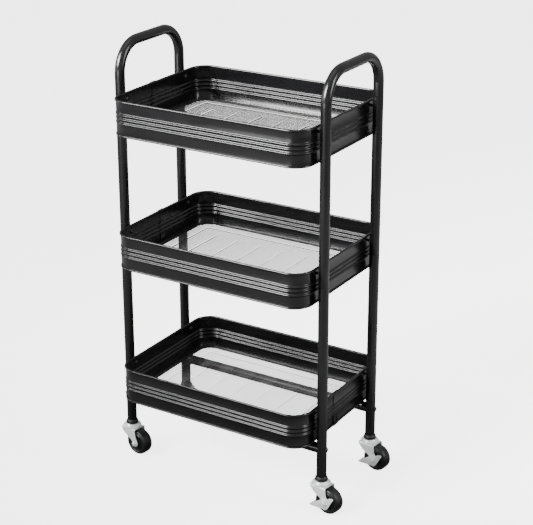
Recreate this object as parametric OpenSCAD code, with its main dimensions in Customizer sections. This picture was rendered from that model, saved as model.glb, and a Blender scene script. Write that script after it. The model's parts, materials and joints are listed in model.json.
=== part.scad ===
// Three-tier rolling utility cart: two tube end frames, three pressed trays with mesh floors,
// two lower stretchers and four stem casters, the right-hand pair with brakes.
// Millimetres, +Z up, floor at z = 0, origin on the floor under the middle of the overall box.

/* [Frame] */
// Distance between the left and right leg centre lines
leg_span_x = 430; // [380:5:520]
// Distance between the front and back leg centre lines
leg_span_y = 190; // [170:2:220]
// Outer diameter of the frame tube
tube_d = 19; // [16:0.5:20]
// Wall thickness of the frame tube
tube_wall = 1.2; // [0.8:0.1:1.6]
// Height of the handle's centre line
handle_z = 826; // [796:2:890]
// Centre-line radius of the handle's bends
bend_r = 55; // [40:1:70]
// Height of the joint between upper frame and lower legs
joint_z = 444; // [430:1:452]
// Height of the leg tubes' lower ends
leg_end_z = 70; // [69.5:0.5:74]
// Height of the stretchers' centre line
stretcher_z = 125; // [106:1:127]

/* [Trays] */
// Overall depth of a tray over its rim
tray_depth = 305; // [280:1:330]
// Height from the upper rim's centre to the lower rim's centre
tray_h = 64; // [60:1:72]
// Outer corner radius over the rim
tray_corner_r = 38; // [34:1:52]
// Thickness of the tray sheet
sheet = 0.8; // [0.6:0.1:1.2]
// Height of the top tray's rim
top_tray_z = 737; // [690:1:742]
// Height of the middle tray's rim
middle_tray_z = 479; // [466:1:484]
// Height of the bottom tray's rim
bottom_tray_z = 205.5; // [204:0.5:230]
// Radius of the rolled upper rim
rim_r = 2.3; // [1.8:0.1:3]
// Radius of the rolled lower rim
foot_rim_r = 1.9; // [1.5:0.1:2.5]
// How far each pressed bead stands out of the wall
bead_out = 2.6; // [1:0.1:3]
// Distance between beads
bead_pitch = 7.9; // [7:0.1:8.5]
// Depth of the first bead's centre below the upper rim
bead_start = 24.8; // [22:0.1:27]
// Depth of the tray screws below the upper rim
screw_drop = 11; // [8:0.5:13]

/* [Casters] */
// Wheel diameter
wheel_d = 50.8; // [46:0.2:52]
// Wheel tread width
wheel_w = 22; // [18:0.5:22.5]
// Distance from the swivel axis back to the axle
trail = 18.5; // [13:0.5:19]
// Angle of the casters about the vertical at rest, 0 trails towards +X
caster_turn = -7; // [-30:1:30]
// Radius of the swivel bearing's cup
race_r = 17.5; // [15:0.5:19]
// Height of the fork's top plate
fork_top_z = 54.5; // [54.5:0.5:57]
// Outer width over the fork's side plates
fork_w = 30; // [30:0.2:33]

/* [Hidden] */

$fn = 48;
over = 1;                       // how far a cutter runs past a face
leg_x = leg_span_x / 2;
leg_y = leg_span_y / 2;
tube_r = tube_d / 2;
bore_r = tube_r - tube_wall;
wheel_r = wheel_d / 2;
// The casters reach further right than left, so the frame's middle lies left of the origin
origin_x = (trail * cos(caster_turn) + wheel_r - race_r) / 2;

// Legs as [x side, y side]
FL = [-1, -1];
FR = [1, -1];
BL = [-1, 1];
BR = [1, 1];
LEGS = [FL, FR, BL, BR];
TRAY_ZS = [top_tray_z, middle_tray_z, bottom_tray_z];

// Joint between upper frame and lower leg
joint_gap = 0.6;                // the groove that shows round the joint
spigot_wall = 1.4;

// Trays
rim_half_x = leg_x - tube_r - 0.4;
rim_half_y = tray_depth / 2;
rim_out = 2 * rim_r - sheet;    // rim outside the wall's outer face
wall_half_x = rim_half_x - rim_out;
wall_half_y = rim_half_y - rim_out;
wall_corner_r = tray_corner_r - rim_out;
bead_half = 3.4;                // half the height of one bead
bead_steps = 8;
bead_count = 3;
arc_step = 30;
flange = 9;                     // ledge that carries the mesh floor
seam_w = 13;                    // overlap strip where the band's ends meet
seam_ys = [-10, 4, -23];        // where the strips sit, top tray first
mesh_t = 1.2;
mesh_lip = 5;
mesh_clear = 0.3;

// Tray screws and rivet nuts
screw_r = 2.5;
screw_head_r = 4.6;
screw_head_h = 2.6;
nut_r = 3.6;
nut_len = 11;
screw_len = 16;
spigot_len = middle_tray_z - screw_drop - nut_r - 1.4 - joint_z;   // ends below the middle screws

// Stretcher bolts and inserts
bolt_r = 3;
bolt_head_r = 5.4;
bolt_head_h = 3.2;
bolt_grip = 38;
insert_len = 30;

// Leg sockets and caster stems
socket_r = 12;
socket_lip = 8;
socket_depth = 42;
stem_r = 5;
stem_groove_r = 4;
king_r = 4;
king_head = 1.6;
cup_top_z = leg_end_z - socket_lip - 0.4;
cup_h = cup_top_z - fork_top_z - 0.5;
cup_sheet = 1.4;
ball_r = 1.2;
ball_ring_r = 12;
ball_z = fork_top_z + 0.25;      // middle of the gap between fork and cup
ball_count = 12;

// Forks, wheels and brakes
fork_sheet = 1.8;
fork_in = fork_w / 2 - fork_sheet;
king_z = fork_top_z - fork_sheet - 0.4 - king_head;
fork_front_x = 16.5;
fork_back_x = 18.5;
fork_end_r = 7;
axle_r = 3;
axle_z = wheel_r;
run_fit = 0.05;
hub_r = 8;
hub_half = fork_in - 0.4;
wheel_edge = 3;
lever_sheet = 1.5;
lever_in = fork_w / 2 + 0.4;
lever_out = lever_in + lever_sheet;
lever_eye_r = 10;
pedal_x = -33;                  // front edge of the pedal, measured from the axle
pedal_bridge = 4;               // pedal's length along the lever
head_gap = 0.3;
axle_head_r = 5.2;
axle_head_h = 2.4;

module centred() {
    translate([-origin_x, 0, 0]) children();
}

module at_leg(leg) {
    centred() translate([leg[0] * leg_x, leg[1] * leg_y, 0]) children();
}

module at_caster(leg) {
    at_leg(leg) rotate([0, 0, caster_turn]) children();
}

// A cylinder along X, from x0 to x1
module rod_x(r, x0, x1) {
    translate([x0, 0, 0]) rotate([0, 90, 0]) cylinder(r = r, h = x1 - x0);
}

// A cylinder along Y, from y0 to y1
module rod_y(r, y0, y1) {
    translate([0, y1, 0]) rotate([90, 0, 0]) cylinder(r = r, h = y1 - y0);
}

// ---- Tube frame ----

module handle_path(r) {
    straight_y = leg_y - bend_r;
    for (side = [-1, 1]) {
        translate([0, side * leg_y, joint_z]) cylinder(r = r, h = handle_z - bend_r - joint_z);
        translate([0, side * straight_y, handle_z - bend_r])
            rotate([0, 0, side * 90])
                rotate([90, 0, 0])
                    rotate_extrude(angle = 90) translate([bend_r, 0]) circle(r = r);
    }
    translate([0, 0, handle_z]) rod_y(r, -straight_y, straight_y);
}

module upper_frame(side) {
    color("#161618") centred() translate([side * leg_x, 0, 0]) difference() {
        handle_path(tube_r);
        handle_path(bore_r);
        for (y = [-leg_y, leg_y])
            for (z = [top_tray_z, middle_tray_z])
                translate([0, y, z - screw_drop])
                    rod_x(nut_r, side > 0 ? -tube_d : 0, side > 0 ? 0 : tube_d);
    }
}

module lower_leg(leg) {
    side = leg[0];
    color("#161618") at_leg(leg) difference() {
        union() {
            translate([0, 0, leg_end_z]) cylinder(r = tube_r, h = joint_z - joint_gap - leg_end_z);
            translate([0, 0, joint_z - over - joint_gap]) cylinder(r = bore_r, h = spigot_len + over);
        }
        translate([0, 0, leg_end_z - over])
            cylinder(r = bore_r, h = joint_z - 6 - leg_end_z + over);
        translate([0, 0, leg_end_z])
            cylinder(r = bore_r - spigot_wall, h = joint_z + spigot_len);
        translate([0, 0, bottom_tray_z - screw_drop])
            rod_x(nut_r, side > 0 ? -tube_d : 0, side > 0 ? 0 : tube_d);
        translate([0, 0, stretcher_z]) rod_x(bolt_r, -tube_d, tube_d);
    }
}

module leg_socket(leg) {
    color("#101012") at_leg(leg) difference() {
        union() {
            translate([0, 0, leg_end_z - socket_lip]) cylinder(r = socket_r, h = 4.5);
            translate([0, 0, leg_end_z - socket_lip + 4.5])
                cylinder(r1 = socket_r, r2 = tube_r + 0.5, h = socket_lip - 4.5);
            translate([0, 0, leg_end_z - over]) cylinder(r = bore_r, h = socket_depth + over);
        }
        translate([0, 0, leg_end_z - socket_lip - over])
            cylinder(r = stem_r, h = socket_lip + socket_depth + 2 * over);
    }
}

module stretcher(y_side) {
    color("#161618") centred() translate([0, y_side * leg_y, stretcher_z]) difference() {
        rod_x(tube_r, -leg_x, leg_x);
        rod_x(bore_r, -leg_x - over, leg_x + over);
        for (x = [-leg_x, leg_x])
            translate([x, 0, -tube_d]) cylinder(r = tube_r, h = 2 * tube_d);
    }
}

module stretcher_inserts() {
    color("#8c8f94") for (leg = LEGS) at_leg(leg) translate([0, 0, stretcher_z])
        rotate([0, 0, leg[0] > 0 ? 180 : 0]) difference() {
            rod_x(bore_r, tube_r + 1, tube_r + 1 + insert_len);
            rod_x(bolt_r, tube_r, tube_r + insert_len + 2 * over);
        }
}

module stretcher_bolts() {
    color("#1c1c1f") for (leg = LEGS) at_leg(leg) translate([0, 0, stretcher_z])
        rotate([0, 0, leg[0] > 0 ? 180 : 0]) {
            rod_x(bolt_r, -tube_r, bolt_grip - tube_r);
            button_head(bolt_head_r, bolt_head_h, -tube_r, 1.6);
        }
}

// A domed screw head whose flat side is at x = face and whose dome points to -X
module button_head(r, h, face, socket) {
    dome_r = (r * r + h * h) / (2 * h);
    translate([face, 0, 0]) difference() {
        intersection() {
            rod_x(r, -h, 0);
            translate([dome_r - h, 0, 0]) sphere(r = dome_r);
        }
        rotate([0, 90, 0]) translate([0, 0, -h - over]) cylinder(r = socket, h = over + h / 2, $fn = 6);
    }
}

// ---- Trays ----

// Wall bump at depth d below the upper rim: smooth outward beads
function bump(d) = bead_out * (1 + cos(180 * d / bead_half)) / 2;
function bead_points(x0) = [
    for (i = [0 : bead_count - 1])
        for (k = [-bead_steps / 2 : bead_steps / 2])
            [x0 + bump(k * bead_half / (bead_steps / 2)),
             -bead_start - i * bead_pitch - k * bead_half / (bead_steps / 2)]
];
function reversed(list) = [for (i = [len(list) - 1 : -1 : 0]) list[i]];
// Points on a curl of radius r about [cx, cz]
function curl(cx, cz, r, from, to) = [
    for (a = [from : (to - from) / round(abs(to - from) / arc_step) : to])
        [cx + r * cos(a), cz + r * sin(a)]
];

// Section of the pressed band, x out from the wall's outer face, z down from the rim's centre
function band_section() = concat(
    curl(rim_r - sheet, 0, rim_r, 180, -120),
    [[0, -rim_r]],
    bead_points(0),
    [[0, -tray_h + foot_rim_r]],
    curl(foot_rim_r - sheet, -tray_h, foot_rim_r, 120, -90),
    [[-flange, -tray_h - foot_rim_r]],
    [[-flange, -tray_h - foot_rim_r + sheet]],
    [[-sheet, -tray_h - foot_rim_r + sheet]],
    reversed(bead_points(-sheet))
);

// Sweeps a section round the tray's rounded rectangle
module round_tray() {
    cx = wall_half_x - wall_corner_r;
    cy = wall_half_y - wall_corner_r;
    for (q = [[1, 1, 0], [-1, 1, 90], [-1, -1, 180], [1, -1, 270]])
        translate([q[0] * cx, q[1] * cy, 0]) rotate([0, 0, q[2]])
            rotate_extrude(angle = 90) translate([wall_corner_r, 0]) children();
    for (side = [0, 180]) {
        rotate([0, 0, side]) translate([0, cy, 0]) rotate([90, 0, 0])
            translate([wall_half_x, 0, 0]) linear_extrude(2 * cy) children();
        rotate([0, 0, side + 90]) translate([0, cx, 0]) rotate([90, 0, 0])
            translate([wall_half_y, 0, 0]) linear_extrude(2 * cx) children();
    }
}

// The overlapping end of the band, a strip on one short wall
module seam(x_side, y) {
    strip = [
        for (p = concat([[0, -rim_r - 1.5]], bead_points(0), [[0, -tray_h + foot_rim_r + 1.5]])) p
    ];
    scale_x = [for (p = reversed(strip)) [p[0] + sheet, p[1]]];
    rotate([0, 0, x_side > 0 ? 0 : 180]) translate([wall_half_x, x_side * y + seam_w / 2, 0])
        rotate([90, 0, 0]) linear_extrude(seam_w) polygon(concat(strip, scale_x));
}

module tray(rim_z, seam_side, seam_y) {
    color("#141416") centred() translate([0, 0, rim_z]) difference() {
        union() {
            round_tray() polygon(band_section());
            seam(seam_side, seam_y);
        }
        for (y = [-leg_y, leg_y])
            translate([0, y, -screw_drop]) rod_x(screw_r, -leg_x, leg_x);
    }
}

module rounded_plate(half_x, half_y, r, h) {
    linear_extrude(h) union() {
        square([2 * (half_x - r), 2 * half_y], center = true);
        square([2 * half_x, 2 * (half_y - r)], center = true);
        for (x = [-half_x + r, half_x - r])
            for (y = [-half_y + r, half_y - r])
                translate([x, y]) circle(r = r);
    }
}

module mesh_floor(rim_z) {
    half_x = wall_half_x - sheet - mesh_clear;
    half_y = wall_half_y - sheet - mesh_clear;
    r = wall_corner_r - sheet - mesh_clear;
    floor_z = rim_z - tray_h - foot_rim_r + sheet;
    color("#3a3a3d") centred() translate([0, 0, floor_z]) difference() {
        rounded_plate(half_x, half_y, r, mesh_lip);
        translate([0, 0, mesh_t])
            rounded_plate(half_x - mesh_t, half_y - mesh_t, r - mesh_t, mesh_lip);
    }
}

module tray_screws(rim_z) {
    color("#1c1c1f") for (leg = LEGS) at_leg(leg) translate([0, 0, rim_z - screw_drop])
        rotate([0, 0, leg[0] > 0 ? 0 : 180]) {
            head_x = wall_half_x - sheet - leg_x;
            rod_x(screw_r, head_x, head_x + screw_len);
            button_head(screw_head_r, screw_head_h, head_x, 1.4);
        }
}

module leg_rivet_nuts() {
    color("#8c8f94") for (leg = LEGS) for (z = TRAY_ZS) at_leg(leg) translate([0, 0, z - screw_drop])
        rotate([0, 0, leg[0] > 0 ? 0 : 180]) difference() {
            rod_x(nut_r, -tube_r, nut_len - tube_r);
            rod_x(screw_r, -tube_r - over, nut_len - tube_r + over);
        }
}

// ---- Casters, each drawn about its own swivel axis ----

module caster_stem(leg) {
    stem_top = leg_end_z + socket_depth - 6;
    color("#b9bcc0") at_caster(leg) {
        translate([0, 0, cup_top_z - over]) cylinder(r = stem_r, h = 8 + over);
        translate([0, 0, cup_top_z + 8]) cylinder(r = stem_groove_r, h = 4);
        translate([0, 0, cup_top_z + 12]) cylinder(r = stem_r, h = stem_top - cup_top_z - 14);
        translate([0, 0, stem_top - 2]) cylinder(r1 = stem_r, r2 = stem_r - 2, h = 2);
        difference() {
            rotate_extrude() polygon([
                [0, cup_top_z], [race_r - 4.5, cup_top_z], [race_r - 1, cup_top_z - 2.2],
                [race_r, cup_top_z - cup_h], [0, cup_top_z - cup_h]
            ]);
            translate([0, 0, ball_z]) rotate_extrude()
                translate([ball_ring_r, 0]) circle(r = ball_r + 0.3);
        }
        translate([0, 0, king_z]) cylinder(r = king_r, h = cup_top_z - cup_h - king_z + over);
        translate([0, 0, king_z]) cylinder(r = king_r + 2.5, h = king_head);
    }
}

module bearing_balls(leg) {
    color("#d5d7da") at_caster(leg) for (i = [0 : ball_count - 1])
        rotate([0, 0, i * 360 / ball_count])
            translate([ball_ring_r, 0, ball_z]) sphere(r = ball_r, $fn = 24);
}

// Side view of one fork plate, x along the trail and y up
module fork_side() {
    polygon([
        [-fork_front_x + 2, fork_top_z - 1], [-fork_front_x + 3.5, fork_top_z - 7],
        [-7, 41], [trail - fork_end_r + 1, axle_z - 2], [trail, axle_z - 3],
        [trail + fork_end_r - 0.5, axle_z + 2], [fork_back_x + 1.5, 40], [fork_back_x, fork_top_z - 1]
    ]);
    translate([trail, axle_z]) circle(r = fork_end_r);
}

module caster_fork(leg) {
    plate_y = fork_w / 2;
    color("#c6c9cd") at_caster(leg) difference() {
        union() {
            for (y = [-fork_in, plate_y])
                translate([0, y, 0]) rotate([90, 0, 0]) linear_extrude(fork_sheet) fork_side();
            translate([-fork_front_x + 2, -plate_y, fork_top_z - fork_sheet])
                cube([fork_front_x + fork_back_x - 2, fork_w, fork_sheet]);
            translate([0, 0, fork_top_z - fork_sheet]) cylinder(r = race_r, h = fork_sheet);
        }
        translate([0, 0, fork_top_z - fork_sheet - over])
            cylinder(r = king_r + 0.4, h = fork_sheet + 2 * over);
        translate([0, 0, ball_z]) rotate_extrude()
            translate([ball_ring_r, 0]) circle(r = ball_r + 0.3);
        translate([trail, 0, axle_z]) rod_y(axle_r + run_fit, -fork_w, fork_w);
    }
}

// Section of the wheel, x outward from the axle and y across the tread
module wheel_section() {
    half = wheel_w / 2;
    edge = curl(wheel_r - wheel_edge, half - wheel_edge, wheel_edge, 0, 90);
    polygon(concat(
        [[axle_r + run_fit, -hub_half]],
        [[hub_r - 1, -hub_half], [hub_r, -half + 1.5], [hub_r + 2, -half + 2.5]],
        [[wheel_r - 8, -half + 2.5], [wheel_r - 7, -half]],
        reversed([for (p = edge) [p[0], -p[1]]]),
        edge,
        [[wheel_r - 7, half], [wheel_r - 8, half - 2.5]],
        [[hub_r + 2, half - 2.5], [hub_r, half - 1.5], [hub_r - 1, hub_half]],
        [[axle_r + run_fit, hub_half]]
    ));
}

module wheel(leg) {
    color("#1d1d1f") at_caster(leg) translate([trail, 0, axle_z]) rotate([90, 0, 0])
        rotate_extrude() wheel_section();
}

module axle(leg, outer) {
    face = outer + head_gap;
    color("#b9bcc0") at_caster(leg) translate([trail, 0, axle_z]) {
        rod_y(axle_r, -face - axle_head_h / 2, face + axle_head_h / 2);
        rod_y(axle_head_r, -face - axle_head_h, -face);
        rotate([90, 0, 0]) translate([0, 0, -face - axle_head_h - 1.6])
            cylinder(r = axle_head_r, h = axle_head_h + 1.6, $fn = 6);
    }
}

// Side view of one brake plate about the axle, x along the trail and y up
module lever_side(wing) {
    circle(r = lever_eye_r);
    polygon(concat(
        [[pedal_x, -14], [pedal_x, -11], [pedal_x + pedal_bridge, -9], [-8, 5], [-1, lever_eye_r]],
        wing ? [[7, 11], [14, 14.5], [19, 15], [19.5, 12], [7, -10]] : [[5, 5]],
        [[0, -12.5], [-12, -13], [pedal_x + pedal_bridge, -14.5]]
    ));
}

module brake_lever(leg) {
    color("#d9dbde") at_caster(leg) translate([trail, 0, axle_z]) difference() {
        union() {
            for (y = [-lever_in, lever_out])
                translate([0, y, 0]) rotate([90, 0, 0]) linear_extrude(lever_sheet) lever_side(y < 0);
            translate([pedal_x, -lever_out, -14]) cube([pedal_bridge, 2 * lever_out, 2]);
        }
        rod_y(axle_r + run_fit, -fork_w, fork_w);
    }
}

upper_frame(-1);  // upper_frame_left
upper_frame(1);  // upper_frame_right
lower_leg(FL);  // lower_leg_fl
lower_leg(FR);  // lower_leg_fr
lower_leg(BL);  // lower_leg_bl
lower_leg(BR);  // lower_leg_br
leg_socket(FL);  // leg_socket_fl
leg_socket(FR);  // leg_socket_fr
leg_socket(BL);  // leg_socket_bl
leg_socket(BR);  // leg_socket_br
stretcher(-1);  // stretcher_front
stretcher(1);  // stretcher_back
stretcher_inserts();
stretcher_bolts();
tray(top_tray_z, -1, seam_ys[0]);  // tray_top
tray(middle_tray_z, -1, seam_ys[1]);  // tray_middle
tray(bottom_tray_z, 1, seam_ys[2]);  // tray_bottom
mesh_floor(top_tray_z);  // mesh_floor_top
mesh_floor(middle_tray_z);  // mesh_floor_middle
mesh_floor(bottom_tray_z);  // mesh_floor_bottom
tray_screws(top_tray_z);  // tray_screws_top
tray_screws(middle_tray_z);  // tray_screws_middle
tray_screws(bottom_tray_z);  // tray_screws_bottom
leg_rivet_nuts();
caster_stem(FL);  // caster_stem_fl
caster_stem(FR);  // caster_stem_fr
caster_stem(BL);  // caster_stem_bl
caster_stem(BR);  // caster_stem_br
bearing_balls(FL);  // bearing_balls_fl
bearing_balls(FR);  // bearing_balls_fr
bearing_balls(BL);  // bearing_balls_bl
bearing_balls(BR);  // bearing_balls_br
caster_fork(FL);  // caster_fork_fl
caster_fork(FR);  // caster_fork_fr
caster_fork(BL);  // caster_fork_bl
caster_fork(BR);  // caster_fork_br
wheel(FL);  // wheel_fl
wheel(FR);  // wheel_fr
wheel(BL);  // wheel_bl
wheel(BR);  // wheel_br
axle(FL, fork_w / 2);  // axle_fl
axle(FR, lever_out);  // axle_fr
axle(BL, fork_w / 2);  // axle_bl
axle(BR, lever_out);  // axle_br
brake_lever(FR);  // brake_lever_fr
brake_lever(BR);  // brake_lever_br
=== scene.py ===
"""Looks of the rolling utility cart: smooth tubes, pressed trays, woven mesh floors and casters."""
import json
import math

import bpy
from mathutils import Matrix, Vector


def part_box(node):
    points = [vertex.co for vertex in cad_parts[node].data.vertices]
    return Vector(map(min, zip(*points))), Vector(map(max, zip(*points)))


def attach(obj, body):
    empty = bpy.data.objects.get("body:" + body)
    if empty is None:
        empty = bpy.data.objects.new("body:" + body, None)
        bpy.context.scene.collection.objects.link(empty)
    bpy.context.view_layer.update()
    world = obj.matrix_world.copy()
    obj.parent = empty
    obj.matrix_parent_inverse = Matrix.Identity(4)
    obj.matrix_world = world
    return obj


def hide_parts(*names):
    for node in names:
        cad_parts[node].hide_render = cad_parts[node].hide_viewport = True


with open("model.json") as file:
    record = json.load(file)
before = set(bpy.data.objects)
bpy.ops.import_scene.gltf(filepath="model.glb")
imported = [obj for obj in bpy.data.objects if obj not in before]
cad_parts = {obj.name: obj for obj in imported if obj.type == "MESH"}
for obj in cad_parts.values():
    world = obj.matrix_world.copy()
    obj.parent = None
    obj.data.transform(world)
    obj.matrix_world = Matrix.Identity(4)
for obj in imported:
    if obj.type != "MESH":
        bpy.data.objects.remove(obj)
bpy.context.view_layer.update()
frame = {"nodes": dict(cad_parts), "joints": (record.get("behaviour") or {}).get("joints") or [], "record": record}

MM = 0.001
LEGS = ("fl", "fr", "bl", "br")
BRAKED = ("fr", "br")
TRAYS = ("top", "middle", "bottom")
SEAMS = {"top": (-1, -0.010), "middle": (-1, 0.004), "bottom": (1, -0.023)}   # side and y of the lap

# ---------------------------------------------------------------- sizes shared by several pieces
TUBE_R = 9.5 * MM
TUBE_WALL = 1.2 * MM
BEND_R = 55 * MM
SHEET = 0.8 * MM
RIM_R = 2.3 * MM
FOOT_R = 1.9 * MM
RIM_OUT = 2 * RIM_R - SHEET
FLANGE = 9 * MM
TRAY_CORNER_R = 38 * MM
JOINTS = {j["name"]: j for j in frame["joints"]}


def centre(node):
    low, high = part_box(node)
    return (Vector(low) + Vector(high)) / 2


# ---------------------------------------------------------------- camera, floor and lights
FLOOR_HALF = 9
FLOOR_PAINTED_SHADE_TO = 0.3            # metres from the middle within which the floor's mirrored colour is painted shade at its darkest
FLOOR_LIGHT_FROM = 0.75        # and beyond which that painted shade has faded to the lighter mirrored colour
# painted shade: the floor colour that the cart mirrors near the middle
MIRRORED_PAINTED_SHADE = 0.05
MIRRORED_LIGHT = 0.5
FLOOR_GLOW = 3.6               # seen by the camera only
WORLD_LIGHT = 0.5              # what falls on the cart
WORLD_SEEN = 4.5               # what the camera sees


def place_camera():
    data = bpy.data.cameras.new("camera")
    camera = bpy.data.objects.new("camera", data)
    bpy.context.scene.collection.objects.link(camera)
    azimuth, elevation, roll = (math.radians(a) for a in (33.264, 20.494, -0.728))
    back = Vector((math.sin(azimuth) * math.cos(elevation),
                   -math.cos(azimuth) * math.cos(elevation), math.sin(elevation)))
    level = Vector((math.cos(azimuth), math.sin(azimuth), 0))
    rise = back.cross(level)
    right = level * math.cos(roll) + rise * math.sin(roll)
    up = rise * math.cos(roll) - level * math.sin(roll)
    turn = Matrix((right, up, back)).transposed().to_4x4()
    camera.matrix_world = Matrix.Translation((1.3868, -2.2251, 1.4603)) @ turn
    data.sensor_width = 36
    data.lens = 101.60
    data.shift_x = 0.0841
    data.shift_y = -0.0591
    data.clip_end = 50
    bpy.context.scene.camera = camera


def area_light(name, place, target, size, power, spread=180):
    data = bpy.data.lights.new(name, "AREA")
    data.shape = "RECTANGLE"
    data.size, data.size_y = size
    data.energy = power
    data.spread = math.radians(spread)
    light = bpy.data.objects.new(name, data)
    bpy.context.scene.collection.objects.link(light)
    light.location = place
    light.visible_camera = False
    light.rotation_euler = (Vector(target) - Vector(place)).to_track_quat("-Z", "Y").to_euler()


def set_stage():
    world = bpy.data.worlds.new("studio")
    bpy.context.scene.world = world
    world.use_nodes = True
    nodes, links = world.node_tree.nodes, world.node_tree.links
    background = nodes["Background"]
    background.inputs["Color"].default_value = (1, 1, 1, 1)
    seen = nodes.new("ShaderNodeLightPath")
    strength = nodes.new("ShaderNodeMapRange")
    strength.inputs["To Min"].default_value = WORLD_LIGHT
    strength.inputs["To Max"].default_value = WORLD_SEEN
    links.new(seen.outputs["Is Camera Ray"], strength.inputs["Value"])
    links.new(strength.outputs["Result"], background.inputs["Strength"])
    corners = [(x * FLOOR_HALF, y * FLOOR_HALF, 0) for x, y in ((-1, -1), (1, -1), (1, 1), (-1, 1))]
    floor = add_mesh("floor", corners, [(0, 1, 2, 3)], floor_material())
    middle = (0, 0, 0.45)
    area_light("key softbox", (-0.6, -1.2, 1.6), (0, 0, 0.86), (1.2, 1.1), 20, spread=44)
    area_light("overhead softbox", (0, -0.2, 3.2), middle, (1.6, 1.6), 8)
    area_light("low softbox", (-0.4, -2.3, 0.45), (0.05, 0, 0.1), (1.6, 0.5), 14)
    area_light("right softbox", (2.4, 0.4, 1.5), middle, (0.8, 1.6), 34)
    area_light("left softbox", (-2.3, -0.9, 1.2), middle, (0.5, 1.6), 16)


# ---------------------------------------------------------------- materials
def new_material(name):
    material = bpy.data.materials.new(name)
    material.use_nodes = True
    nodes = material.node_tree.nodes
    return material, nodes, material.node_tree.links, nodes["Principled BSDF"]


def noise(nodes, links, scale, detail=3.0, stretch=(1, 1, 1)):
    place = nodes.new("ShaderNodeTexCoord")
    mapping = nodes.new("ShaderNodeMapping")
    mapping.inputs["Scale"].default_value = stretch
    links.new(place.outputs["Object"], mapping.inputs["Vector"])
    texture = nodes.new("ShaderNodeTexNoise")
    texture.inputs["Scale"].default_value = scale
    texture.inputs["Detail"].default_value = detail
    links.new(mapping.outputs["Vector"], texture.inputs["Vector"])
    return texture


def ramp(nodes, links, source, target, low, high, start=0.35, end=0.65):
    """Maps a noise onto a range of greys, or of colours, between low and high."""
    node = nodes.new("ShaderNodeValToRGB")
    node.color_ramp.elements[0].position = start
    node.color_ramp.elements[1].position = end
    for element, value in zip(node.color_ramp.elements, (low, high)):
        element.color = (*value, 1) if isinstance(value, tuple) else (value, value, value, 1)
    links.new(source.outputs["Fac"], node.inputs["Fac"])
    links.new(node.outputs["Color"], target)


def bump(nodes, links, shader, source, strength, distance):
    node = nodes.new("ShaderNodeBump")
    node.inputs["Strength"].default_value = strength
    node.inputs["Distance"].default_value = distance
    links.new(source.outputs["Fac"], node.inputs["Height"])
    links.new(node.outputs["Normal"], shader.inputs["Normal"])


def surface(name, dark, light, rough, bump_scale, bump_depth, metallic=0.0, coat=0.0, patch_scale=18.0,
            stretch=(1, 1, 1)):
    """A finish with patchy colour, patchy roughness and a fine bump."""
    material, nodes, links, shader = new_material(name)
    shader.inputs["Metallic"].default_value = metallic
    shader.inputs["Coat Weight"].default_value = coat
    shader.inputs["Coat Roughness"].default_value = 0.08
    patches = noise(nodes, links, patch_scale, 4.0, stretch)
    ramp(nodes, links, patches, shader.inputs["Base Color"], dark, light)
    ramp(nodes, links, noise(nodes, links, patch_scale * 3.1, 5.0, stretch), shader.inputs["Roughness"], *rough)
    bump(nodes, links, shader, noise(nodes, links, bump_scale, 2.0), 0.15, bump_depth)
    return material


def floor_material():
    """Pale to the eye; to what mirrors it, darker, with painted shade that is darkest near the cart and fades
    further out.
    """
    material = surface("pale floor", (0.90, 0.90, 0.90), (0.93, 0.93, 0.93), (0.75, 0.85), 40.0, 0.0002)
    nodes, links = material.node_tree.nodes, material.node_tree.links
    shader = nodes["Principled BSDF"]
    pale = shader.inputs["Base Color"].links[0].from_socket
    seen = nodes.new("ShaderNodeLightPath")
    place = nodes.new("ShaderNodeNewGeometry")
    distance = nodes.new("ShaderNodeVectorMath")
    distance.operation = "LENGTH"
    links.new(place.outputs["Position"], distance.inputs[0])
    # painted shade: the colour that reflections see is darkest near the cart and lighter further out
    spread = nodes.new("ShaderNodeMapRange")
    spread.inputs["From Min"].default_value = FLOOR_PAINTED_SHADE_TO
    spread.inputs["From Max"].default_value = FLOOR_LIGHT_FROM
    links.new(distance.outputs["Value"], spread.inputs["Value"])
    spread.inputs["To Min"].default_value = MIRRORED_PAINTED_SHADE
    spread.inputs["To Max"].default_value = MIRRORED_LIGHT
    mix = nodes.new("ShaderNodeMix")
    mix.data_type = "RGBA"
    links.new(spread.outputs["Result"], mix.inputs["A"])
    links.new(seen.outputs["Is Camera Ray"], mix.inputs["Factor"])
    links.new(pale, mix.inputs["B"])
    links.new(mix.outputs["Result"], shader.inputs["Base Color"])
    shader.inputs["Emission Color"].default_value = (1, 1, 1, 1)
    glow = nodes.new("ShaderNodeMath")
    glow.operation = "MULTIPLY"
    glow.inputs[1].default_value = FLOOR_GLOW
    links.new(seen.outputs["Is Camera Ray"], glow.inputs[0])
    links.new(glow.outputs["Value"], shader.inputs["Emission Strength"])
    return material


# ---------------------------------------------------------------- mesh helpers
SHARP_ANGLE = 35


def add_mesh(name, verts, faces, material, sharp=SHARP_ANGLE):
    mesh = bpy.data.meshes.new(name)
    mesh.from_pydata([tuple(v) for v in verts], [], faces)
    mesh.validate()
    for polygon in mesh.polygons:
        polygon.use_smooth = True
    mesh.set_sharp_from_angle(angle=math.radians(sharp))
    mesh.materials.append(material)
    piece = bpy.data.objects.new(name, mesh)
    bpy.context.scene.collection.objects.link(piece)
    return piece


def finish_piece(piece, body, slot, *nodes):
    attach(piece, body)
    if nodes:
        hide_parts(*nodes)


def grid_faces(rings, count, close_rings=False, close_ring=True):
    """Quads between successive rings of the same number of points."""
    faces = []
    last = rings if close_rings else rings - 1
    side = count if close_ring else count - 1
    for i in range(last):
        a, b = i * count, (i + 1) % rings * count
        for k in range(side):
            n = (k + 1) % count
            faces.append((a + k, a + n, b + n, b + k))
    return faces


def arc(cx, cy, r, start, end, steps):
    """Points on an arc, angles in degrees."""
    return [(cx + r * math.cos(math.radians(start + (end - start) * i / steps)),
             cy + r * math.sin(math.radians(start + (end - start) * i / steps))) for i in range(steps + 1)]


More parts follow.
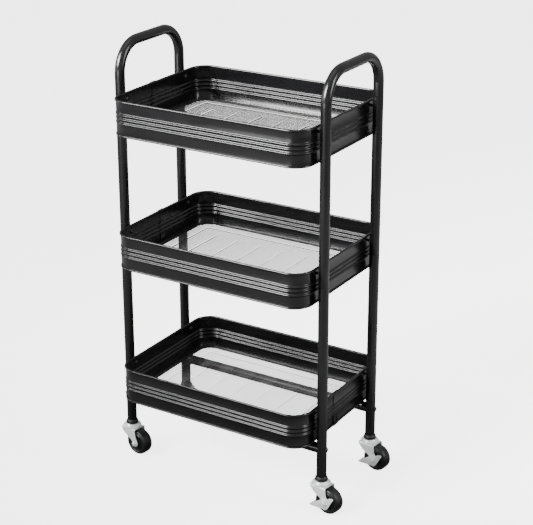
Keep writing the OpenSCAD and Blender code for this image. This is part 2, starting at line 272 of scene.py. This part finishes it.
def revolve(profile, steps, base=Matrix.Identity(4)):
    """Turns a closed (radius, height) outline about the local Z axis."""
    verts = []
    for i in range(steps):
        turn = Matrix.Rotation(2 * math.pi * i / steps, 4, "Z")
        verts += [base @ (turn @ Vector((r, 0, z))) for r, z in profile]
    return verts, grid_faces(steps, len(profile), close_rings=True)


def join_parts(parts):
    """Joins (verts, faces) pairs into one."""
    verts, faces = [], []
    for v, f in parts:
        faces += [tuple(i + len(verts) for i in face) for face in f]
        verts += list(v)
    return verts, faces


# ---------------------------------------------------------------- tube frame
CRUSH = 1.0 * MM               # how far a bend's inner side is flattened
CRUSH_RUN = 5 * MM
TUBE_SIDES = 40
BORE_SEEN = 0.02               # how far up an upright's open end its bore is drawn
SPIGOT = 18 * MM               # length of a lower leg's narrowed top, inside the upper frame
NECK_IN = 1.25 * MM            # how much smaller that top's radius is than the tube's
NECK_WALL = 1.4 * MM
NECK_SINK = 6 * MM             # how far it reaches down inside the leg


def handle_route(y_half, top_z, foot_z):
    """Centre line of one end frame in its own plane: points, directions and share of crush."""
    route = []
    straight = y_half - BEND_R
    bend_z = top_z - BEND_R
    for z in (foot_z, foot_z + 0.0006, foot_z + 0.05, (foot_z + bend_z) / 2, bend_z - CRUSH_RUN):
        route.append((-y_half, z, 90, 0))
    steps = 28
    for i in range(steps + 1):
        angle = 180 - 90 * i / steps
        y = -straight + BEND_R * math.cos(math.radians(angle))
        z = bend_z + BEND_R * math.sin(math.radians(angle))
        route.append((y, z, angle - 90, 1))
    route.append((-straight + CRUSH_RUN, top_z, 0, 0))
    return route + [(-y, z, -heading, crush) for y, z, heading, crush in reversed(route)]


def tube_ring(radius, heading, crush):
    """A round section whose inner side is pressed flat where the tube bends."""
    ring = []
    for k in range(TUBE_SIDES):
        a = 2 * math.pi * k / TUBE_SIDES
        side, out = radius * math.cos(a), radius * math.sin(a)
        out = max(out, -radius + CRUSH * crush)
        h = math.radians(heading)
        ring.append((side, -out * math.sin(h), out * math.cos(h)))
    return ring


def make_upper_frame(side, material):
    node = "upper_frame_" + side
    low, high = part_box(node)
    x = (low[0] + high[0]) / 2
    y_half = high[1] - TUBE_R
    top_z = high[2] - TUBE_R
    route = handle_route(y_half, top_z, low[2])
    verts = []
    edge = 0.35 * MM
    for i, (y, z, heading, crush) in enumerate(route):
        radius = TUBE_R - (edge if i in (0, len(route) - 1) else 0)
        verts += [(x + a, y + b, z + c) for a, b, c in tube_ring(radius, heading, crush)]
    faces = grid_faces(len(route), TUBE_SIDES)
    for last in (0, len(route) - 1):
        y, z, heading, crush = route[last]
        start = len(verts)
        for depth in (0, BORE_SEEN):
            verts += [(x + a, y + b, z + c + depth) for a, b, c in tube_ring(TUBE_R - TUBE_WALL, heading, 0)]
        first = last * TUBE_SIDES
        for k in range(TUBE_SIDES):
            n = (k + 1) % TUBE_SIDES
            faces.append((first + k, first + n, start + n, start + k))
            faces.append((start + k, start + n, start + TUBE_SIDES + n, start + TUBE_SIDES + k))
    piece = add_mesh("end_tube_" + side, verts, faces, material)
    finish_piece(piece, "cart_frame", "frame_paint", node)


def tube_outline(radius, wall, z0, z1, edge):
    """Closed outline of an upright tube with softened ends."""
    return [(radius - wall, z0), (radius - edge, z0), (radius, z0 + edge), (radius, z1 - edge),
            (radius - edge, z1), (radius - wall, z1)]


def make_lower_leg(leg, material):
    node = "lower_leg_" + leg
    low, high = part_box(node)
    place = Matrix.Translation((centre(node).x, centre(node).y, 0))
    shoulder = high[2] - SPIGOT
    outer = tube_outline(TUBE_R, TUBE_WALL, low[2], shoulder, 0.4 * MM)
    neck = tube_outline(TUBE_R - NECK_IN, NECK_WALL, shoulder - NECK_SINK, high[2], 0.3 * MM)
    verts, faces = join_parts([revolve(outer, 56, place), revolve(neck, 56, place)])
    piece = add_mesh("leg_tube_" + leg, verts, faces, material)
    finish_piece(piece, "cart_frame", "frame_paint", node)


# ---------------------------------------------------------------- pressed trays
BEAD_OUT = 2.6 * MM
BEAD_HALF = 3.4 * MM
BEAD_START = 24.8 * MM
BEAD_PITCH = 7.9 * MM
BEAD_STEPS = 14
LAP_HALF = 6.5 * MM            # half width of the strip where a tray's ends meet
LAP_PROUD = 1.0 * MM


def wall_bumps(x0):
    """Points down the three outward beads of a tray wall."""
    points = []
    for i in range(3):
        for k in range(-BEAD_STEPS // 2, BEAD_STEPS // 2 + 1):
            t = 2 * k / BEAD_STEPS
            out = BEAD_OUT * (1 + math.cos(math.pi * t)) / 2
            points.append((x0 + out, -BEAD_START - i * BEAD_PITCH - t * BEAD_HALF))
    return points


def tray_outline(height, grow=0.0):
    """Closed section of the pressed band, from the rolled rim down to the inward ledge."""
    foot = -height
    top = arc(RIM_R - SHEET, 0, RIM_R + grow, 180, -120, 16)
    bottom = arc(FOOT_R - SHEET, foot, FOOT_R + grow, 120, -90, 12)
    outer = [(grow, -RIM_R - 1.0 * MM)] + wall_bumps(grow) + [(grow, foot + FOOT_R + 1.0 * MM)]
    if grow:
        inner = [(-SHEET - grow, foot - FOOT_R + 4 * SHEET)]
    else:
        inner = [(-FLANGE, foot - FOOT_R), (-FLANGE, foot - FOOT_R + SHEET),
                 (-SHEET - 1.5 * MM, foot - FOOT_R + SHEET), (-SHEET, foot - FOOT_R + SHEET + 1.5 * MM)]
    return top + outer + bottom + inner + wall_bumps(-SHEET - grow)[::-1]


def rounded_path(half_x, half_y, radius, steps):
    """Points and outward directions round a rounded rectangle."""
    path = []
    for quarter, (sx, sy) in enumerate(((1, 1), (-1, 1), (-1, -1), (1, -1))):
        for i in range(steps + 1):
            a = math.radians(90 * quarter + 90 * i / steps)
            n = Vector((math.cos(a), math.sin(a), 0))
            path.append((Vector((sx * (half_x - radius), sy * (half_y - radius), 0)) + n * radius, n))
    return path


def make_tray(tray, material):
    node = "tray_" + tray
    low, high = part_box(node)
    legs_x = centre("leg_rivet_nuts").x
    half_x = (high[0] - low[0]) / 2 - RIM_OUT
    half_y = (high[1] - low[1]) / 2 - RIM_OUT
    rim_z = high[2] - RIM_R
    height = rim_z - low[2] - FOOT_R
    middle = Vector((legs_x, 0, rim_z))
    corner = TRAY_CORNER_R - RIM_OUT
    outline = tray_outline(height)
    verts = []
    path = rounded_path(half_x, half_y, corner, 22)
    for point, out in path:
        verts += [middle + point + out * x + Vector((0, 0, z)) for x, z in outline]
    faces = grid_faces(len(path), len(outline), close_rings=True)
    side, seam_y = SEAMS[tray]
    lap = tray_outline(height, LAP_PROUD)
    strip = []
    for y in (-LAP_HALF, LAP_HALF):
        strip += [middle + Vector((side * (half_x + x), seam_y + side * y, z)) for x, z in lap]
    strip_faces = grid_faces(2, len(lap)) + [tuple(range(len(lap)))[::-1], tuple(range(len(lap), 2 * len(lap)))]
    verts, faces = join_parts([(verts, faces), (strip, strip_faces)])
    piece = add_mesh("pressed_tray_" + tray, verts, faces, material, sharp=50)
    finish_piece(piece, "cart_frame", "tray_paint", node)
    return middle, half_x, half_y, corner


# ---------------------------------------------------------------- woven mesh floors
PITCH = 3.1 * MM
WIRE_R = 0.42 * MM
WIRE_VARY = 0.22               # share by which a wire's radius varies either way
WIRE_VARY_STEP = 2.4           # radians of that variation from one wire to the next
SHORTEST_WIRE = 8 * MM         # half length below which a wire near a corner is left out
MESH_LEVEL = 1.2 * MM          # top of the mesh above the lowest point of its node
CREASE_R = 0.6 * MM            # wires laid along the pressed lines
BORDER_IN = 30 * MM            # pressed border line, measured in from the wall
GROOVE_HALF = 1.6 * MM
GROOVE_DEEP = 1.1 * MM
LINE_XS = [52.4 * MM * (i - 2.5) for i in range(6)]
LINE_END_IN = 33 * MM          # the cross lines stop this far inside the border
LINE_END_HALF = 0.3 * MM
LIP_R = 3.0 * MM
LIP_UP = 5.0 * MM


def groove(distance):
    """Depth of a pressed line at a distance from its middle."""
    return -GROOVE_DEEP * max(0.0, 1 - abs(distance) / GROOVE_HALF)


def floor_rise(x, y, border_x, border_y):
    """Height of the mesh above its flat level at a place on the floor."""
    line = min(border_x - abs(x), border_y - abs(y))
    rise = groove(line)
    if abs(y) < border_y - LINE_END_IN:
        rise = min([rise] + [groove(x - at) for at in LINE_XS])
    return rise


def lip_points(end):
    """The wire's end, curled up against the wall; (along, up) pairs out from the floor."""
    points = [(end - LIP_R * (1 - math.sin(math.radians(a))), LIP_R * (1 - math.cos(math.radians(a))))
              for a in (0, 30, 60, 90)]
    return points + [(end, LIP_UP)]


def wire(line, radius):
    """A four-sided wire through the points of a line."""
    verts = []
    for i, p in enumerate(line):
        ahead = (line[min(i + 1, len(line) - 1)] - line[max(i - 1, 0)]).normalized()
        side = ahead.cross(Vector((0, 0, 1)))
        if side.length < 1e-3:
            side = Vector((ahead.y, -ahead.x, 0)) if abs(ahead.z) < 0.9 else Vector((1, 0, 0))
        side.normalize()
        up = side.cross(ahead)
        verts += [p + side * radius, p + up * radius, p - side * radius, p - up * radius]
    return verts, grid_faces(len(line), 4)


def span_at(offset, half_long, half_short, corner):
    """Half length of a wire at an offset from the middle of a rounded rectangle."""
    past = abs(offset) - (half_short - corner)
    if past <= 0:
        return half_long
    return half_long - corner + math.sqrt(max(corner * corner - past * past, 0))


def make_mesh_floor(tray, middle, half_x, half_y, corner, material):
    node = "mesh_floor_" + tray
    floor_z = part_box(node)[0][2] + MESH_LEVEL - WIRE_R - middle.z
    clear = SHEET + 0.5 * MM
    hx, hy, r = half_x - clear, half_y - clear, corner - clear
    border_x, border_y = half_x - BORDER_IN, half_y - BORDER_IN
    line_end = border_y - LINE_END_IN
    parts = []
    for along_x in (True, False):
        long_half, short_half = (hx, hy) if along_x else (hy, hx)
        weave = WIRE_R * (0.5 if along_x else -0.5)
        count = int(short_half / PITCH)
        for i in range(-count, count + 1):
            offset = i * PITCH
            reach = span_at(offset, long_half, short_half, r)
            if reach < SHORTEST_WIRE:
                continue
            border = border_x if along_x else border_y
            marks = [border * s + d for s in (-1, 1) for d in (-GROOVE_HALF, 0, GROOVE_HALF)]
            if along_x:
                marks += [at + d for at in LINE_XS for d in (-GROOVE_HALF, 0, GROOVE_HALF)]
            else:
                marks += [s * line_end + d for s in (-1, 1) for d in (-LINE_END_HALF, LINE_END_HALF)]
            marks = sorted(m for m in marks if abs(m) < reach - LIP_R - 1 * MM)
            places = []
            for m in marks:
                x, y = (m, offset) if along_x else (offset, m)
                places.append((m, floor_rise(x, y, border_x, border_y)))
            ends = lip_points(reach)
            places = [(-a, u) for a, u in reversed(ends)] + places + ends
            line = []
            for m, rise in places:
                x, y = (m, offset) if along_x else (offset, m)
                line.append(middle + Vector((x, y, floor_z + rise + weave)))
            parts.append(wire(line, WIRE_R * (1 + WIRE_VARY * math.sin(WIRE_VARY_STEP * i))))
    crease_z = floor_z - GROOVE_DEEP - CREASE_R
    creases = [((x, -line_end), (x, line_end)) for x in LINE_XS]
    creases += [((-border_x, s * border_y), (border_x, s * border_y)) for s in (-1, 1)]
    creases += [((s * border_x, -border_y), (s * border_x, border_y)) for s in (-1, 1)]
    for start, stop in creases:
        parts.append(wire([middle + Vector((*start, crease_z)), middle + Vector((*stop, crease_z))], CREASE_R))
    verts, faces = join_parts(parts)
    piece = add_mesh("woven_floor_" + tray, verts, faces, material)
    finish_piece(piece, "cart_frame", "mesh_wire", node)


# ---------------------------------------------------------------- casters
def caster_place(leg):
    """The caster's own frame, swivel axis at its origin and trailing along X, and its axle in that frame."""
    swivel = Vector(JOINTS["caster_swivel_" + leg]["pos_m"])
    hub = Vector(JOINTS["wheel_spin_" + leg]["pos_m"])
    trail = Vector((hub.x - swivel.x, hub.y - swivel.y))
    turn = Matrix.Rotation(math.atan2(trail.y, trail.x), 4, "Z")
    return Matrix.Translation((swivel.x, swivel.y, 0)) @ turn, Vector((trail.length, 0, hub.z)), swivel.z


def soften(piece, width, segments=2, angle=38):
    """Rounds a piece's sharp edges for good."""
    bevel = piece.modifiers.new("soft edges", "BEVEL")
    bevel.width = width
    bevel.segments = segments
    bevel.limit_method = "ANGLE"
    bevel.angle_limit = math.radians(angle)
    graph = bpy.context.evaluated_depsgraph_get()
    mesh = bpy.data.meshes.new_from_object(piece.evaluated_get(graph))
    piece.modifiers.clear()
    piece.data = mesh
    for polygon in mesh.polygons:
        polygon.use_smooth = True
    mesh.set_sharp_from_angle(angle=math.radians(SHARP_ANGLE))


def sheet_from_rows(rows, normals, thickness):
    """A closed sheet from rows of points, its back one thickness behind along each row's normal."""
    count = len(rows[0])
    front = [p for row in rows for p in row]
    back = [p - n * thickness for row, n in zip(rows, normals) for p in row]
    faces = grid_faces(len(rows), count, close_ring=False)
    start = len(front)
    faces += [tuple(start + i for i in reversed(f)) for f in faces]
    edge = list(range(count))
    edge += [count * r + count - 1 for r in range(1, len(rows))]
    edge += [count * (len(rows) - 1) + i for i in range(count - 2, -1, -1)]
    edge += [count * r for r in range(len(rows) - 2, 0, -1)]
    for i, a in enumerate(edge):
        b = edge[(i + 1) % len(edge)]
        faces.append((b, a, start + a, start + b))
    return front + back, faces


def between(table, value):
    """Straight-line reading of a table of (value, result) pairs in rising order."""
    for (a, x), (b, y) in zip(table, table[1:]):
        if value <= b:
            return x + (y - x) * max(0.0, value - a) / (b - a)
    return table[-1][1]


FORK_HALF = 15.0 * MM
FORK_SHEET = 1.8 * MM
FORK_BEND = 3.0 * MM
FORK_TOP_HALF = 18.5 * MM
FORK_EYE = 7 * MM


def fork_edges(z, axle, top):
    """The front and back edge of a fork's side plate at a height."""
    left = [(axle.z + 3 * MM, axle.x - 6.4 * MM), (axle.z + 9 * MM, axle.x - 14 * MM),
            (axle.z + 15.6 * MM, -7 * MM), (top - 7 * MM, -13 * MM), (top - 3 * MM, -15.4 * MM),
            (top, -16.5 * MM)]
    right = [(axle.z + 2 * MM, axle.x + FORK_EYE - 0.3 * MM), (axle.z + 14.6 * MM, FORK_TOP_HALF + 1.5 * MM),
             (top, FORK_TOP_HALF)]
    low, high = between(left, z), between(right, z)
    if z < axle.z + 3 * MM:
        half = math.sqrt(max(FORK_EYE ** 2 - (z - axle.z) ** 2, 0))
        low = axle.x - half
        if z < axle.z + 2 * MM:
            high = axle.x + half
    return low, high


def make_fork(leg, material):
    base, axle, _ = caster_place(leg)
    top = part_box("caster_fork_" + leg)[1][2]
    heights = [axle.z - FORK_EYE * math.cos(math.radians(a)) for a in (8, 25, 45, 65, 90, 110)]
    heights += [axle.z + h * MM for h in (3.2, 6, 9, 12, 15.6, 18.5, 21)]
    heights = [h for h in heights if h < top - FORK_BEND - 1.5 * MM] + [top - FORK_BEND]
    section = [(FORK_HALF, z, 0) for z in heights]
    section += [(y, z, a) for (y, z), a in zip(arc(FORK_HALF - FORK_BEND, top - FORK_BEND, FORK_BEND, 0, 90, 6)[1:],
                                               (15, 30, 45, 60, 75, 90))]
    section += [(y * FORK_HALF, top, 90) for y in (0.45, 0.2, 0)]
    section += [(-y, z, 180 - a) for y, z, a in section[-2::-1]]
    rows, normals = [], []
    for y, z, a in section:
        low, high = fork_edges(min(z, top), axle, top)
        rows.append([base @ Vector((low + (high - low) * i / 10, -y, z)) for i in range(11)])
        n = Vector((0, -math.cos(math.radians(a)), math.sin(math.radians(a))))
        normals.append(base.to_3x3() @ n)
    verts, faces = sheet_from_rows(rows, normals, FORK_SHEET)
    piece = add_mesh("caster_yoke_" + leg, verts, faces, material)
    soften(piece, 0.35 * MM)
    finish_piece(piece, "swivel_" + leg, "zinc", "caster_fork_" + leg)


def make_stem(leg, material):
    """The swivel's cup with its dished top and rolled edge, and the stem that goes up the leg."""
    base, _, swivel_z = caster_place(leg)
    low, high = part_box("caster_stem_" + leg)
    cup_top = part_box("leg_socket_" + leg)[0][2] - 0.4 * MM
    cup_low = swivel_z + 0.5 * MM
    cup = [(r * MM, cup_top + z * MM) for r, z in (
        (4.9, 0), (9.6, 0), (10.3, -0.5), (11.2, -0.75), (12.0, -0.5), (12.7, -0.45), (13.5, -1.0), (14.1, -2.1),
        (14.9, -2.7), (15.9, -2.9), (16.8, -3.3), (17.35, -4.0), (17.5, -4.9), (17.35, -5.8))]
    cup += [(16.9 * MM, cup_low), (4.9 * MM, cup_low)]
    stem = [(r * MM, cup_top + z * MM) for r, z in (
        (2, -1), (4.95, -1), (4.95, 8), (4.1, 8.6), (4.1, 11.6), (4.95, 12.2))]
    stem += [(4.95 * MM, high[2] - 2 * MM), (3.2 * MM, high[2]), (2 * MM, high[2])]
    parts = [revolve(cup, 64, base), revolve(stem, 40, base)]
    for i in range(6):
        turn = base @ Matrix.Rotation(math.radians(60 * i + 20), 4, "Z")
        parts.append(dimple(turn @ Matrix.Translation((15.6 * MM, 0, cup_top - 2.6 * MM)), 1.0 * MM, 0.5 * MM))
    rivet = [(r * MM, low[2] + z * MM) for r, z in (
        (0.2, 0), (5.2, 0), (6.3, 0.5), (6.3, 1.5), (4.0, 1.6), (4.0, 6), (0.2, 6))]
    parts.append(revolve(rivet, 40, base))
    verts, faces = join_parts(parts)
    piece = add_mesh("caster_cup_" + leg, verts, faces, material)
    finish_piece(piece, "cart_frame", "zinc", "caster_stem_" + leg)


def dimple(place, radius, height):
    """A small raised round spot."""
    outline = [(radius * math.cos(math.radians(a)), height * math.sin(math.radians(a))) for a in (88, 60, 30, 0)]
    return revolve(outline + [(radius * 0.9, -height), (0.05 * radius, -height)], 16, place)


def make_wheel(leg, material):
    base, axle, _ = caster_place(leg)
    side = [(3.05, 12.7), (7.2, 12.7), (7.8, 12.1), (8.2, 8.4), (9.0, 7.7), (14.6, 7.4), (15.6, 7.9), (16.0, 9.8),
            (16.5, 10.5), (17.4, 10.7), (17.9, 10.3), (18.3, 9.9), (18.8, 10.2), (19.3, 10.8), (21.4, 10.9),
            (22.9, 10.4), (24.2, 9.2), (25.0, 7.5), (25.3, 5.6), (25.4, 3.2), (25.4, 0.4)]
    outline = [(r * MM, y * MM) for r, y in side] + [(r * MM, -y * MM) for r, y in reversed(side)]
    turn = base @ Matrix.Translation(axle) @ Matrix.Rotation(math.pi / 2, 4, "X")
    parts = [revolve(outline, 96, turn)]
    for i in range(6):
        for face in (0, math.pi):
            spoke = turn @ Matrix.Rotation(face, 4, "X") @ Matrix.Rotation(math.radians(60 * i), 4, "Z")
            parts.append(rib(spoke, 8.0 * MM, 15.9 * MM, 0.9 * MM, 7.3 * MM, 9.6 * MM))
    verts, faces = join_parts(parts)
    piece = add_mesh("wheel_tyre_" + leg, verts, faces, material)
    finish_piece(piece, "rolling_wheel_" + leg, "wheel_plastic", "wheel_" + leg)


def rib(place, r0, r1, half, z0, z1):
    """A tapered rib of a wheel's web."""
    verts = [place @ Vector((r, y * taper, z))
             for r in (r0, r1) for z, taper in ((z0, 1.0), (z1, 0.65)) for y in (-half, half)]
    faces = [(0, 1, 3, 2), (4, 6, 7, 5), (0, 2, 6, 4), (1, 5, 7, 3), (2, 3, 7, 6), (0, 4, 5, 1)]
    return verts, faces


def prism(outline, depth, place):
    """A plate of the outline, from local z = 0 to depth."""
    n = len(outline)
    verts = [place @ Vector((x, y, z)) for z in (0, depth) for x, y in outline]
    faces = [tuple(range(n))[::-1], tuple(range(n, 2 * n))]
    faces += [(i, (i + 1) % n, n + (i + 1) % n, n + i) for i in range(n)]
    return verts, faces


def make_axle(leg, material):
    base, axle, _ = caster_place(leg)
    low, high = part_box("axle_" + leg)
    outer = (16.9 if leg in BRAKED else 15.0) * MM + 0.3 * MM
    along = base @ Matrix.Translation(axle) @ Matrix.Rotation(math.pi / 2, 4, "X")
    rod = [(r * MM, z * MM) for r, z in ((0.2, -16), (3.0, -16), (3.0, 16), (0.2, 16))]
    head = [(0.1 * MM, outer + 2.3 * MM), (1.5 * MM, outer + 2.2 * MM), (3.4 * MM, outer + 1.8 * MM),
            (4.7 * MM, outer + 1.0 * MM), (5.1 * MM, outer), (0.1 * MM, outer)]
    nut = [(5.2 * MM * math.cos(math.radians(60 * i)), 5.2 * MM * math.sin(math.radians(60 * i))) for i in range(6)]
    back = along @ Matrix.Rotation(math.pi, 4, "X")
    stub = [(0.1 * MM, outer + 4.2 * MM), (1.9 * MM, outer + 4.1 * MM), (2.5 * MM, outer + 3.6 * MM),
            (2.5 * MM, outer), (0.1 * MM, outer)]
    parts = [revolve(rod, 32, along), revolve(head, 40, back), revolve(stub, 32, along)]
    parts.append(prism(nut, 2.8 * MM, along @ Matrix.Translation((0, 0, outer))))
    verts, faces = join_parts(parts)
    piece = add_mesh("axle_bolt_" + leg, verts, faces, material)
    soften(piece, 0.25 * MM)
    finish_piece(piece, "swivel_" + leg, "zinc", "axle_" + leg)


# Outlines of the brake lever's side plates in mm about the axle: the near one has a wing, the far one has none.
LEVER = [(-29, -14.4), (-29, -9.2), (-20, -3.2), (-8, 5), (-4.5, 8.6), (-1, 10), (3, 9.8), (7, 11), (11, 13.4),
         (14, 14.5), (17.5, 15.2), (19, 15), (19.7, 13.8), (19.4, 12), (14, 2.5), (8.4, -7.2), (6, -10.8),
         (3, -12.2), (-3, -12.8), (-12, -13)]
LEVER_FAR = [(-29, -14.4), (-29, -9.2), (-20, -3.2), (-8, 5), (-4.5, 8.6), (-1, 9.9), (3, 9.5), (7, 7.1), (9.6, 2.8),
             (9.8, -2), (8, -7), (4.6, -10.8), (0, -12.4), (-12, -13)]
LEVER_IN = 15.4 * MM
LEVER_OUT = 16.9 * MM


def make_lever(leg, material):
    base, axle, _ = caster_place(leg)
    plane = base @ Matrix.Translation(axle) @ Matrix.Rotation(math.pi / 2, 4, "X")
    ring = [(5.9 * MM, 0.0), (6.3 * MM, 0.22 * MM), (7.9 * MM, 0.22 * MM), (8.3 * MM, 0.0), (8.3 * MM, -0.4 * MM),
            (5.9 * MM, -0.4 * MM)]
    parts = []
    near = (LEVER, LEVER_IN, LEVER_OUT, 0)
    far = (LEVER_FAR, -LEVER_OUT, -LEVER_OUT, math.pi)
    for outline, start, proud, flip in (near, far):
        parts.append(prism([(x * MM, y * MM) for x, y in outline], LEVER_OUT - LEVER_IN,
                           plane @ Matrix.Translation((0, 0, start))))
        parts.append(revolve(ring, 40, plane @ Matrix.Translation((0, 0, proud)) @ Matrix.Rotation(flip, 4, "X")))
    tread = [(-33, -14.2), (-33.4, -13.2), (-33, -12.1), (-28.8, -11.6), (-28.8, -13.6)]
    parts.append(prism([(x * MM, y * MM) for x, y in tread], 2 * LEVER_OUT,
                       plane @ Matrix.Translation((0, 0, -LEVER_OUT))))
    verts, faces = join_parts(parts)
    piece = add_mesh("brake_pedal_" + leg, verts, faces, material)
    soften(piece, 0.3 * MM)
    finish_piece(piece, "brake_" + leg, "zinc", "brake_lever_" + leg)


def make_socket(leg, material):
    base, _, _ = caster_place(leg)
    low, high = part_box("leg_socket_" + leg)
    z = low[2]
    outline = [(5.05, 0), (11.3, 0), (11.9, 0.5), (12.0, 1.4), (11.85, 2.2), (11.45, 2.5), (11.85, 2.9), (11.9, 4.2),
               (11.5, 5.2), (10.7, 6.6), (10.0, 7.7), (9.3, 8.0), (8.3, 8.0)]
    outline = [(r * MM, z + h * MM) for r, h in outline]
    outline += [(8.25 * MM, high[2]), (5.05 * MM, high[2])]
    verts, faces = revolve(outline, 56, base)
    piece = add_mesh("leg_ferrule_" + leg, verts, faces, material)
    finish_piece(piece, "cart_frame", "socket_plastic", "leg_socket_" + leg)


# ---------------------------------------------------------------- build
def main():
    paint = surface("black enamel", (0.0035, 0.0035, 0.0038), (0.0055, 0.0055, 0.006), (0.19, 0.23), 260.0, 0.00002)
    tray_paint = surface("tray enamel", (0.0032, 0.0032, 0.0035), (0.005, 0.005, 0.0055), (0.18, 0.22), 240.0,
                         0.00002)
    wire_paint = surface("mesh coating", (0.02, 0.02, 0.02), (0.035, 0.034, 0.033), (0.35, 0.5), 2500.0, 0.00003)
    screw_black = surface("black oxide", (0.02, 0.02, 0.021), (0.045, 0.045, 0.046), (0.25, 0.38), 1800.0, 0.00002,
                          metallic=0.7)
    plastic = surface("moulded plastic", (0.004, 0.004, 0.0042), (0.007, 0.007, 0.0073), (0.34, 0.46), 1600.0,
                      0.00002)
    zinc = surface("bright zinc", (0.90, 0.93, 0.93), (0.96, 0.98, 0.98), (0.18, 0.26), 180.0, 0.00002,
                   metallic=0.3, patch_scale=45.0)
    steel = surface("plain steel", (0.50, 0.50, 0.51), (0.62, 0.62, 0.63), (0.25, 0.4), 1200.0, 0.00003,
                    metallic=1.0)
    wheel_black = surface("wheel nylon", (0.006, 0.006, 0.0063), (0.010, 0.010, 0.0104), (0.26, 0.38), 900.0,
                          0.00003)
    place_camera()
    set_stage()
    by_slot = {"frame_paint": paint, "tray_paint": tray_paint, "mesh_wire": wire_paint, "black_screw": screw_black,
               "socket_plastic": plastic, "zinc": zinc, "plain_steel": steel, "wheel_plastic": wheel_black}
    for part in frame["record"]["subparts"]:
        node = frame["nodes"][part["node"]]
        node.data.materials.clear()
        node.data.materials.append(by_slot[part["material_slot"]])
    for side in ("left", "right"):
        make_upper_frame(side, paint)
    for leg in LEGS:
        make_lower_leg(leg, paint)
        make_socket(leg, plastic)
        make_stem(leg, zinc)
        make_fork(leg, zinc)
        make_wheel(leg, wheel_black)
        make_axle(leg, zinc)
    for leg in BRAKED:
        make_lever(leg, zinc)
    for tray in TRAYS:
        sizes = make_tray(tray, tray_paint)
        make_mesh_floor(tray, *sizes, wire_paint)


main()
